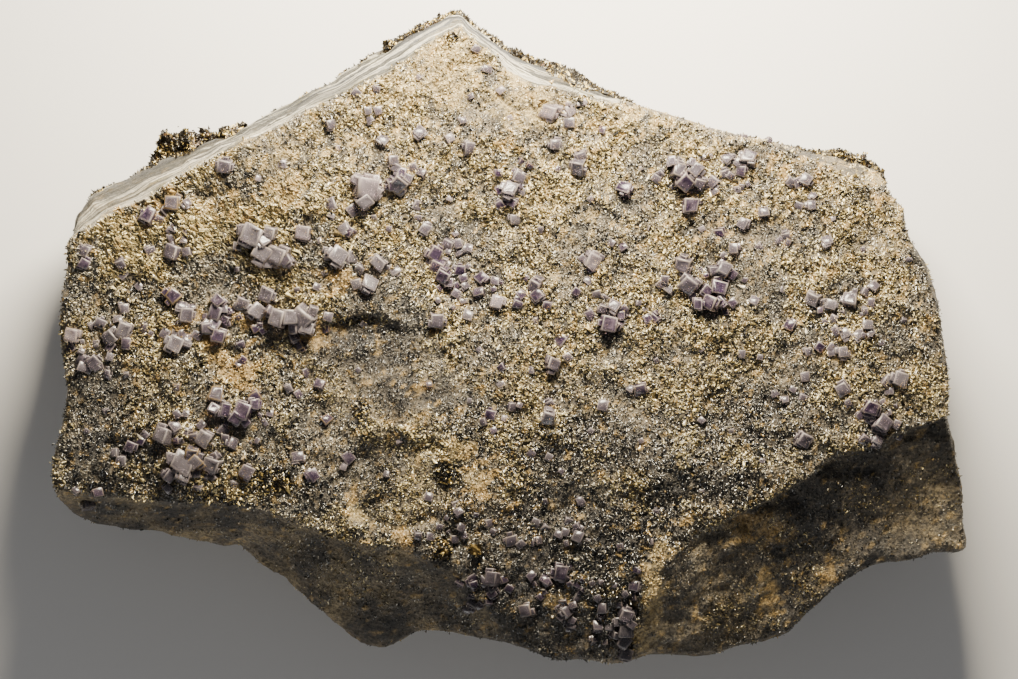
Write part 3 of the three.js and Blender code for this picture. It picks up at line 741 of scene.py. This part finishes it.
# For a crystal of a given width, a share of it and a margin: the radius of its socket in the rock,
# and how far a probe of the rock stays from it.
SOCKET_SHARE, SOCKET_MARGIN = 0.8, 0.5 * MM
CLEAR_SHARE, CLEAR_MARGIN = 0.684, 0.576 * MM
PROBES, LEAST_PROBES = 24, 4
PROBE_RINGS = (1.2 * MM, 2.8 * MM)
# How far a probe may stray from the middle one, and the reach of the levelling above and below.
PROBE_STRAY, LEVEL_REACH = 2.5 * MM, 6 * MM


def ground_height(tree, x, y):
    hit = tree.ray_cast(Vector((x, y, RAY_HEIGHT)), Vector((0, 0, -1)))[0]
    return hit.z if hit else None


def crystal_sites():
    """Middle and width of each cube and pyrite group that the solids hold."""
    rows = [row for cluster in FLUORITE_CLUSTERS.values() for row in cluster]
    for u, v, size, turn, tone in rows + FLUORITE_CUBES:
        yield to_x(u), to_y(v), size * UNIT
    for node in sorted(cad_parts):
        if node.startswith("pyrite"):
            low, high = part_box(node)
            yield (low.x + high.x) / 2, (low.y + high.y) / 2, high.x - low.x


def level_crystal_sites(place, tree):
    """Takes the solids' plain cubes and sockets off the rock, so that finished crystals can stand there.

    Round each one the rock is probed, and the points within are put on the plane through the probes.
    """
    sites = np.array(list(crystal_sites()))
    clearance = sites[:, 2] * CLEAR_SHARE + CLEAR_MARGIN
    for x, y, width in sites:
        radius = width * SOCKET_SHARE + SOCKET_MARGIN
        heights = []
        for step in range(PROBES):
            angle = step * math.tau / PROBES
            around = radius + PROBE_RINGS[step % 2]
            px, py = x + around * math.cos(angle), y + around * math.sin(angle)
            clear = np.hypot(sites[:, 0] - px, sites[:, 1] - py) > clearance
            height = ground_height(tree, px, py)
            if height is not None and clear.all():
                heights.append((px - x, py - y, height))
        if len(heights) < LEAST_PROBES:
            continue
        samples = np.array(heights)
        samples = samples[np.abs(samples[:, 2] - np.median(samples[:, 2])) < PROBE_STRAY]
        terms = np.c_[samples[:, :2], np.ones(len(samples))]
        slope_x, slope_y, level = np.linalg.lstsq(terms, samples[:, 2], rcond=None)[0]
        away = np.hypot(place[:, 0] - x, place[:, 1] - y)
        plane = level + slope_x * (place[:, 0] - x) + slope_y * (place[:, 1] - y)
        near = (away < radius) & (np.abs(place[:, 2] - plane) < LEVEL_REACH)
        place[near, 2] = plane[near]


def roughness_of(place, facing):
    """How far each point moves out along its normal: by bumps on the front, by broken layers elsewhere.

    The noises' scales are in features to the metre, their amounts in millimetres.
    """
    front_facing = 0.55
    layer_scale = Vector((60, 60, 520))
    moved = np.zeros(len(place))
    for n, (point, normal) in enumerate(zip(place, facing)):
        spot = Vector(point)
        fine = noise.fractal(spot * 420, 0.7, 2.1, 4)
        if normal[2] > front_facing:
            moved[n] = 0.3 * fine + 0.7 * noise.noise(spot * 150) + 0.4 * noise.noise(spot * 330)
        else:
            ledges = abs(noise.noise(spot * layer_scale)) - 0.25
            broken = noise.ridged_multi_fractal(spot * 95, 0.9, 2.2, 4, 1.0, 2.0) - 1.1
            moved[n] = 0.9 * ledges * (1 - abs(normal[2])) + 0.42 * broken + 0.2 * fine
    return moved * MM


def patchy(strength):
    """Sharpens a soft place into one with an edge."""
    t = np.clip((strength - 0.25) / 0.5, 0, 1)
    return t * t * (3 - 2 * t)


# The most that each stain tints, and how far noise wanders a stain's outline, in picture units.
ORANGE_MOST, CREAM_MOST, BROWN_MOST = 0.85, 0.76, 0.26
# How far the whole shelf is darkened: partly its darker rock, partly painted shade below the step.
SHELF_DARK_AND_SHADE = 0.45
WANDER = 9
# Stains fade out below the front, from this height over this depth.
FRONT_FROM, FRONT_DEPTH = 16 * MM, 8 * MM


def zones(place):
    """Orange, cream and dark shares at each point, with ragged edges. Cream also holds painted light, dark
    painted shade.
    """
    broad, fine = noise_vectors(place, 150), fractal(place, 680, 0.8, 2.1, 3)
    u, v = picture_place(place)
    u += WANDER * broad[:, 0]
    v += WANDER * broad[:, 1]
    front = np.clip((place[:, 2] - FRONT_FROM) / FRONT_DEPTH, 0, 1)
    orange = patchy(places(ORANGE_PLACES, u, v) + 0.9 * fine) * front * ORANGE_MOST
    cream = patchy(places(CREAM_PLACES, u, v) + 0.8 * fine) * front * CREAM_MOST
    brown = in_area(UNDER_FACE, u, v) * np.clip(0.08 + 0.6 * broad[:, 1], 0, BROWN_MOST)
    # Painted light on the shelf and the lower front, taken into the cream share.
    pale = places(PAINTED_LIGHT_PLACES, u, v) * np.clip(0.7 + fine, 0, 1)
    cream = np.maximum(np.maximum(cream, brown), pale)
    # Dark patches and painted shade; the shelf is darkened as a whole, partly for its rock, partly as painted
    # shade.
    dark = np.maximum(places(DARK_AND_SHADE_PLACES, u, v), SHELF_DARK_AND_SHADE * in_area(SHELF, u, v))
    # Darker towards the bottom of the picture: painted shade for the lamp's falloff, partly darker rock
    # there.
    lower = np.clip((v - 300) / 260, 0, 1)
    dark = patchy(dark + 0.25 * broad[:, 2] + 0.32 * fine + 0.17 * lower) * np.maximum(front, 0.3)
    dark *= 1 - 0.75 * np.maximum(orange, np.minimum(1, 2 * cream))
    return np.c_[orange, cream, dark, np.ones(len(place))]


def rock_piece():
    """The slab with a broken, layered surface, in place of its plain solid."""
    rock = remeshed("matrix_slab", "drusy_slab", ROCK_VOXEL)
    place = coordinates(rock.data)
    level_crystal_sites(place, BVHTree.FromObject(rock, bpy.context.evaluated_depsgraph_get()))
    move_to(rock.data, place)
    facing = normals(rock.data)
    moved = roughness_of(place, facing)
    moved[(place[:, 2] < REST_HEIGHT) & (moved > 0)] = 0
    place = np.clip(place + facing * moved[:, None], np.array(CAD_LOW), np.array(CAD_HIGH))
    move_to(rock.data, place)
    store(rock.data, "zone", "FLOAT_COLOR", zones(place))
    upright = np.clip((0.7 - np.abs(normals(rock.data)[:, 2])) * 4, 0, 1)
    u, v = picture_place(place)
    store(rock.data, "band", "FLOAT", upright * in_area(BAND, u, v) * np.interp(u, *BAND_SHARE))
    for face in rock.data.polygons:
        face.use_smooth = False
    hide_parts("matrix_slab")
    return rock


# Grains.
GRAIN_SEED = 11
GRAINS_A_PIECE = 64000
# How far a grain's middle stands out of the rock, as a share of its length.
GRAIN_LIFT = 0.18
SITE_JITTER = 0.45 * MM
DARK_WIDTH_SPREAD = 0.3
# The solids under the dark grains: how far they are roughened and how far taken in, in millimetres.
LUMP_VOXEL = 0.7 * MM
LUMP_ROUGHNESS, LUMP_INSET = 0.7, 0.45


def mesh_arrays(mesh):
    """A mesh's corners and triangles."""
    mesh.calc_loop_triangles()
    return coordinates(mesh), read(mesh.loop_triangles, "vertices", 3, np.int32)


def grain_template():
    """A three-sided pointed grain, one unit across, open underneath where it is rooted in the rock."""
    edit = bmesh.new()
    bmesh.ops.create_cone(
        edit, segments=3, radius1=0.55, radius2=0, depth=1, cap_ends=False, cap_tris=False,
    )
    return mesh_arrays(mesh_from(edit, "grain"))


GRAIN = grain_template()


def repeated(name, template, turns, sizes, centres):
    """One mesh of a template repeated: turns are n 3x3 matrices, sizes and centres n by 3."""
    corners, triangles = template
    scaled = corners[None, :, :] * sizes[:, None, :]
    placed = np.einsum("nij,nvj->nvi", turns, scaled) + centres[:, None, :]
    count, per = len(centres), len(corners)
    faces = triangles[None, :, :] + (np.arange(count) * per)[:, None, None]
    mesh = bpy.data.meshes.new(name)
    mesh.vertices.add(count * per)
    mesh.vertices.foreach_set("co", placed.ravel())
    total = faces.size
    mesh.loops.add(total)
    mesh.loops.foreach_set("vertex_index", faces.ravel().astype(np.int32))
    mesh.polygons.add(total // 3)
    mesh.polygons.foreach_set("loop_start", np.arange(0, total, 3, dtype=np.int32))
    mesh.update(calc_edges=True)
    return mesh


def turn_matrices(axis, lean, spin):
    """For each row, a rotation that takes Z to the axis, leaned by a vector, and spun about it."""
    z = axis + lean
    z /= np.linalg.norm(z, axis=1)[:, None]
    help_axis = np.where(np.abs(z[:, :1]) < 0.9, [[1.0, 0, 0]], [[0, 1.0, 0]])
    x = np.cross(help_axis, z)
    x /= np.linalg.norm(x, axis=1)[:, None]
    y = np.cross(z, x)
    c, s = np.cos(spin)[:, None], np.sin(spin)[:, None]
    return np.stack([x * c + y * s, y * c - x * s, z], axis=2)


def grain_sites(piece, rng, spread):
    """Random spots on a piece, one for each patch of spread square millimetres: places and normals."""
    faces = piece.data.polygons
    centre, normal, area = read(faces, "center", 3), read(faces, "normal", 3), read(faces, "area")
    count = int(area.sum() / (spread * MM * MM))
    picked = rng.choice(len(faces), size=count, p=area / area.sum())
    facing = normal[picked]
    jitter = rng.normal(0, SITE_JITTER, (count, 3))
    jitter -= facing * np.sum(jitter * facing, axis=1)[:, None]
    return centre[picked] + jitter, facing


def crust_share(place):
    """Where the druse is grey and fine (0) or cream and coarse (1), in patches of 4 to 15 mm."""
    field = fractal(place, 70, 0.45, 2.2, 4)
    return np.clip(0.5 + (field - field.mean()) / (6 * field.std()), 0, 1)


def grain_widths(rng, count, middle, spread, least, most):
    """Widths spread log-normally about a middle one, all given in millimetres."""
    return np.clip(rng.lognormal(math.log(middle), spread, count), least, most) * MM


def grain_pieces(name, place, facing, width, length, lean, tone, rng, drift=0):
    """Grains at the places as pieces of at most GRAINS_A_PIECE grains each. A drift leans them one way."""
    count = len(place)
    sizes = np.c_[width, width * rng.uniform(0.6, 1, count), width * length]
    leans = rng.normal(0, lean, (count, 3)) + drift
    turns = turn_matrices(facing, leans, rng.uniform(0, math.tau, count))
    centres = place + facing * (sizes[:, 2] * GRAIN_LIFT)[:, None]
    shade = zones(centres)
    # Grains are greyer and darker where the zones hold dark patches and painted shade.
    crust = crust_share(centres) - 0.3 * shade[:, 2]
    per = len(GRAIN[0])
    pieces = []
    for start in range(0, count, GRAINS_A_PIECE):
        rows = slice(start, start + GRAINS_A_PIECE)
        part = f"{name}_{len(pieces) + 1}"
        mesh = repeated(part, GRAIN, turns[rows], sizes[rows], centres[rows])
        store(mesh, "tone", "FLOAT", np.repeat(tone[rows], per))
        store(mesh, "crust", "FLOAT", np.repeat(crust[rows], per))
        store(mesh, "zone", "FLOAT_COLOR", np.repeat(shade[rows], per, axis=0))
        pieces.append(link(part, mesh))
    return pieces


def dark_grains(name, place, facing, widths, lengths, lean, rng):
    """Grains of random tone: widths are the middle, least and most in millimetres, lengths shares of them."""
    count = len(place)
    middle, least, most = widths
    width = grain_widths(rng, count, middle, DARK_WIDTH_SPREAD, least, most)
    length = rng.uniform(*lengths, count)
    return grain_pieces(name, place, facing, width, length, lean, rng.random(count), rng)


def grow_druse(rock, rng):
    """The quartz druse of the front, finer in the hollows and sparse on broken faces."""
    place, facing = grain_sites(rock, rng, 0.05)
    u, v = picture_place(place)
    front = (facing[:, 2] > 0.5) & (place[:, 2] > 25 * MM)
    smooth = np.any([in_area(area, u, v) for area in SMOOTH_HOLLOWS], axis=0)
    shelf, under, band = (in_area(area, u, v) for area in (SHELF, UNDER_FACE, BAND))
    chance = np.where(front, 0.52, 0.0)
    chance[front & smooth] = 0.6
    chance[front & shelf] = np.interp(u[front & shelf], [700, 850, 900], [0.34, 0.26, 0.12])
    chance[front & under] = 0.2
    chance *= 1 - 0.3 * patchy(places(ORANGE_PLACES + CREAM_PLACES, u, v))
    chance[band & (facing[:, 2] < 0.75)] = 0
    chance[~front & (place[:, 2] > 6 * MM) & ~band] = 0.02
    keep = rng.random(len(u)) < chance
    place, facing, u, v = place[keep], facing[keep], u[keep], v[keep]
    count = len(place)
    width = grain_widths(rng, count, 0.4, 0.36, 0.25, 1.3)
    width[(smooth | shelf | under)[keep]] *= 0.72
    width *= 0.62 + 0.8 * crust_share(place)
    tone = np.clip(rng.normal(0.45, 0.42, count), 0, 1)
    middle_u, middle_v, wide, high = COMBED
    combed = np.clip(1.6 - np.hypot((u - middle_u) / wide, (v - middle_v) / high), 0, 1)
    tone = np.clip(tone + 0.14 * combed, 0, 1)
    length = rng.uniform(0.9, 1.6, count) * (1 + 0.6 * combed)
    drift = combed[:, None] * COMBED_TOWARDS
    return grain_pieces("druse", place, facing, width, length, 0.5, tone, rng, drift)


def grow_glints(rock, rng):
    """Nests of tiny dark and golden grains in the druse, round the pyrite, and thin rows of them along the
    ledge and edges that are partly painted shade.
    """
    place, facing = grain_sites(rock, rng, 0.1)
    chance = 0.8 * patchy(places(GLINT_PLACES, *picture_place(place)))
    keep = (facing[:, 2] > 0.4) & (rng.random(len(place)) < chance)
    return dark_grains("glints", place[keep], facing[keep], (0.6, 0.3, 1.2), (1, 1.7), 0.6, rng)


def grow_rim(rock, rng):
    """The near-black crust along the back rim, up to a wavy line."""
    place, facing = grain_sites(rock, rng, 0.08)
    u, v = picture_place(place)
    height = place[:, 2] / MM
    outward = (facing[:, 1] > 0.25) & (np.abs(facing[:, 2]) < 0.9)
    level = 21 + 2 * np.sin(u / 23.0) + 1.5 * np.sin(u / 7.0) + 14 * places(CRUST_TONGUES, u, v)
    chance = 0.06 + 0.5 * places(RIM_CRUST, u, v)
    keep = outward & (height < level) & (height > 6) & (rng.random(len(u)) < chance)
    return dark_grains("rim_crust", place[keep], facing[keep], (0.6, 0.35, 1.3), (0.9, 1.6), 0.5, rng)


def crust_piece(node, rng):
    """A hubnerite or pyrite group: its solid made lumpy, with small dark grains all over it."""
    lump = remeshed(node, node + "_crust", LUMP_VOXEL)
    place, facing = coordinates(lump.data), normals(lump.data)
    moved = fractal(place, 380, 0.8, 2.1, 3) * LUMP_ROUGHNESS * MM - LUMP_INSET * MM
    move_to(lump.data, place + facing * moved[:, None])
    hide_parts(node)
    spots, out = grain_sites(lump, rng, 0.15)
    grains = dark_grains(node + "_blades", spots, out, (0.65, 0.4, 1.4), (0.8, 1.5), 0.6, rng)
    return lump, grains


# Fluorite.
LEAST_TILT, MOST_TILT = 6, 32
# How far a cube's middle stands out of the rock, as a share of its edge, and the least and the range
# of what it then sinks in.
CRYSTAL_LIFT = 0.16
SUNK, SMALL_SUNK = (0.04, 0.16), (0.18, 0.36)
CRYSTAL_RAISE = 0.1 * MM
# From this edge on, in picture units, a cube has two or more smaller ones grown on it.
STEPPED_FROM = 10
# How far the corners of a cube stray, as a share of its width, and by what noise.
UNEVENNESS, STRAY_SCALE = 0.16, 650
# The pyrite cube's worn edges.
WORN_WIDTH = 0.12 * MM


def cube_template(sunken):
    """A unit cube with narrow chamfers and, if asked, slightly sunken faces."""
    edit = bmesh.new()
    bmesh.ops.create_cube(edit, size=1)
    bmesh.ops.bevel(
        edit, geom=edit.edges[:], offset=0.07, offset_type="OFFSET", segments=1, profile=0.5,
        affect="EDGES", material=-1,
    )
    if sunken:
        large = [face for face in edit.faces if face.calc_area() > 0.5]
        bmesh.ops.inset_individual(edit, faces=large, thickness=0.26, depth=-0.012)
    return mesh_arrays(mesh_from(edit, "cube"))


CUBE = cube_template(sunken=True)
SMALL_CUBE = cube_template(sunken=False)


def crystal_turn(u, v, turn):
    """The lean and turn of a crystal, worked out as the solids have it."""
    seed = u * 7 + v
    towards = math.tau * scatter(seed, 3)
    tilt = math.radians(LEAST_TILT + (MOST_TILT - LEAST_TILT) * scatter(seed, 5))
    lean = Vector((math.cos(towards), math.sin(towards), 0))
    return Matrix.Rotation(tilt, 3, lean) @ Matrix.Rotation(math.radians(-turn), 3, "Z")


def grown_together(u, v, size, centre, basis):
    """A cube and the smaller ones grown parallel on it: the middle and edge of each."""
    edge = size * UNIT
    steps = 2 + int(3 * scatter(u, v)) if size > STEPPED_FROM else int(2.2 * scatter(u, v))
    yield centre, edge
    for step in range(steps):
        angle = math.tau * scatter(u + step, v)
        away = Vector((math.cos(angle), math.sin(angle), 0.3 * scatter(u, v + step) - 0.1))
        step_edge = edge * (0.36 + 0.3 * scatter(v, u + step))
        yield centre + basis @ (away * edge * 0.42), step_edge


def fluorite_piece(name, rows, tree, top=None, small=False):
    """Fluorite cubes as one mesh, raised or lowered to end at a given top. Small ones sit deeper."""
    least_sunk, sunk_range = SMALL_SUNK if small else SUNK
    turns, sizes, centres, growth, stain = [], [], [], [], []
    for u, v, size, turn, tone in rows:
        x, y = to_x(u), to_y(v)
        height = ground_height(tree, x, y)
        if height is None:
            continue
        basis = crystal_turn(u, v, turn)
        sunk = least_sunk + sunk_range * scatter(v + 2, u)
        middle = Vector((x, y, height + (CRYSTAL_LIFT - sunk) * (size * UNIT) + CRYSTAL_RAISE))
        purple, white = TONES[tone[0]]
        for centre, edge in grown_together(u, v, size, middle, basis):
            turns.append(np.array(basis))
            sizes.append([edge * (0.81 + 0.2 * scatter(u + axis, edge / UNIT)) for axis in range(3)])
            centres.append(tuple(centre))
            core = purple * (0.6 + 0.5 * scatter(u, round(centre.x / MM * 3)))
            # The red share is painted shade, darker down the picture.
            growth.append((np.interp(v, *SHADE_DOWN_THE_PICTURE), core, white, 1))
            stain.append(1.0 if tone.endswith("o") else 0.25 * (scatter(v, u) > 0.8))
    template = SMALL_CUBE if small else CUBE
    sizes = np.array(sizes)
    mesh = repeated(name, template, np.array(turns), sizes, np.array(centres))
    per = len(template[0])
    store(mesh, "own_place", "FLOAT_VECTOR", np.tile(template[0], (len(centres), 1)))
    store(mesh, "growth", "FLOAT_COLOR", np.repeat(growth, per, axis=0))
    store(mesh, "rim_stain", "FLOAT", np.repeat(stain, per))
    place = coordinates(mesh)
    place += noise_vectors(place, STRAY_SCALE) * UNEVENNESS * np.repeat(sizes, per, axis=0)
    if top is not None:
        place[:, 2] += top - place[:, 2].max()
    move_to(mesh, place)
    return link(name, mesh)


def small_rows():
    """Rows of the small and the tiny cubes, as the large ones have them."""
    for tone, sizes in SMALL_CUBES.items():
        for size, spots in sizes.items():
            for u, v in spots:
                yield u, v, size, int(90 * scatter(v, u)), tone
    for centre_u, centre_v, wide, high, count, tone in CUBE_FIELDS:
        for n in range(count):
            angle = math.tau * scatter(n, centre_u)
            away = math.sqrt(scatter(n, centre_v))
            u = centre_u + wide * away * math.cos(angle)
            v = centre_v + high * away * math.sin(angle)
            yield u, v, 4.5 + 5 * scatter(u, v), int(90 * scatter(v, u)), tone


def bevelled_copy(node, name, width):
    """A solid's own shape with worn edges."""
    piece = solid_copy(node, name)
    planar = piece.modifiers.new("flat_faces", "DECIMATE")
    planar.decimate_type = "DISSOLVE"
    planar.angle_limit = math.radians(1)
    bevel = piece.modifiers.new("worn_edges", "BEVEL")
    bevel.width = width
    bevel.segments = 2
    bevel.limit_method = "ANGLE"
    triangles = piece.modifiers.new("triangles", "TRIANGULATE")
    triangles.quad_method = "BEAUTY"
    piece = with_modifiers(piece)
    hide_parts(node)
    return piece


# Stage.
FLOOR_COLOUR = (0.62, 0.61, 0.6)
SKY_COLOUR, SKY_STRENGTH = (0.95, 0.97, 1, 1), 0.16
LOOK_HEIGHT = 0.03
LENS, SENSOR = 200, 36


def area_light(name, place, size, power, colour):
    """A rectangular lamp that shines at the specimen's middle."""
    data = bpy.data.lights.new(name, "AREA")
    data.shape = "RECTANGLE"
    data.size, data.size_y = size
    data.energy = power
    data.color = colour
    lamp = link(name, data)
    lamp.location = place
    towards = Vector((0, 0, LOOK_HEIGHT)) - Vector(place)
    lamp.rotation_euler = towards.to_track_quat("-Z", "Y").to_euler()


def stage():
    edit = bmesh.new()
    bmesh.ops.create_grid(edit, x_segments=1, y_segments=1, size=3)
    floor = link("floor", mesh_from(edit, "floor"))
    material, tree, shader = new_material("pale_floor")
    feed(tree, shader, {"Base Color": FLOOR_COLOUR, "Roughness": 0.9})
    floor.data.materials.append(material)
    world = bpy.data.worlds.new("studio")
    world.use_nodes = True
    sky = world.node_tree.nodes["Background"].inputs
    sky["Color"].default_value = SKY_COLOUR
    sky["Strength"].default_value = SKY_STRENGTH
    bpy.context.scene.world = world
    area_light("key", (0.02, 0.185, 0.165), (0.14, 0.06), 4.7, (1, 0.9, 0.71))
    area_light("fill", (-0.12, -0.55, 0.14), (0.5, 0.2), 1.3, (1, 0.98, 0.95))


def camera():
    """Looks straight down, from so far that the slab fills the picture as in the photo."""
    data = bpy.data.cameras.new("camera")
    data.lens = LENS
    data.sensor_width = SENSOR
    data.clip_end = 20
    eye = link("camera", data)
    away = PICTURE_WIDTH * UNIT * LENS / SENSOR
    eye.location = (to_x(PICTURE_WIDTH / 2), to_y(PICTURE_HEIGHT / 2), LOOK_HEIGHT + away)
    bpy.context.scene.camera = eye


def build():
    rng = np.random.default_rng(GRAIN_SEED)
    # Without a seed the noise vectors would start from the clock.
    noise.seed_set(GRAIN_SEED)
    camera()
    rock = rock_piece()
    finish([rock], rock_material())
    tree = BVHTree.FromObject(rock, bpy.context.evaluated_depsgraph_get())
    druse, dark, fluorite = druse_material(), dark_druse_material(), fluorite_material()
    pyrite, hubnerite = pyrite_material(), hubnerite_material()
    finish(grow_druse(rock, rng), druse)
    finish(grow_glints(rock, rng), dark)
    finish(grow_rim(rock, rng), dark)
    for node, rows in FLUORITE_CLUSTERS.items():
        piece = fluorite_piece(node.replace("cluster", "cubes"), rows, tree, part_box(node)[1].z)
        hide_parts(node)
        finish([piece], fluorite)
    single = fluorite_piece("fluorite_cubes_single", FLUORITE_CUBES, tree)
    small = fluorite_piece("fluorite_cubes_small", small_rows(), tree, small=True)
    finish([single, small], fluorite)
    for node in sorted(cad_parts):
        slot = node.split("_")[0]
        if node == "pyrite_cube":
            finish([bevelled_copy(node, node + "_crystal", WORN_WIDTH)], pyrite)
        elif slot in ("pyrite", "hubnerite"):
            lump, grains = crust_piece(node, rng)
            finish([lump], pyrite if slot == "pyrite" else hubnerite)
            finish(grains, dark)
    stage()


build()
bpy.context.view_layer.update()
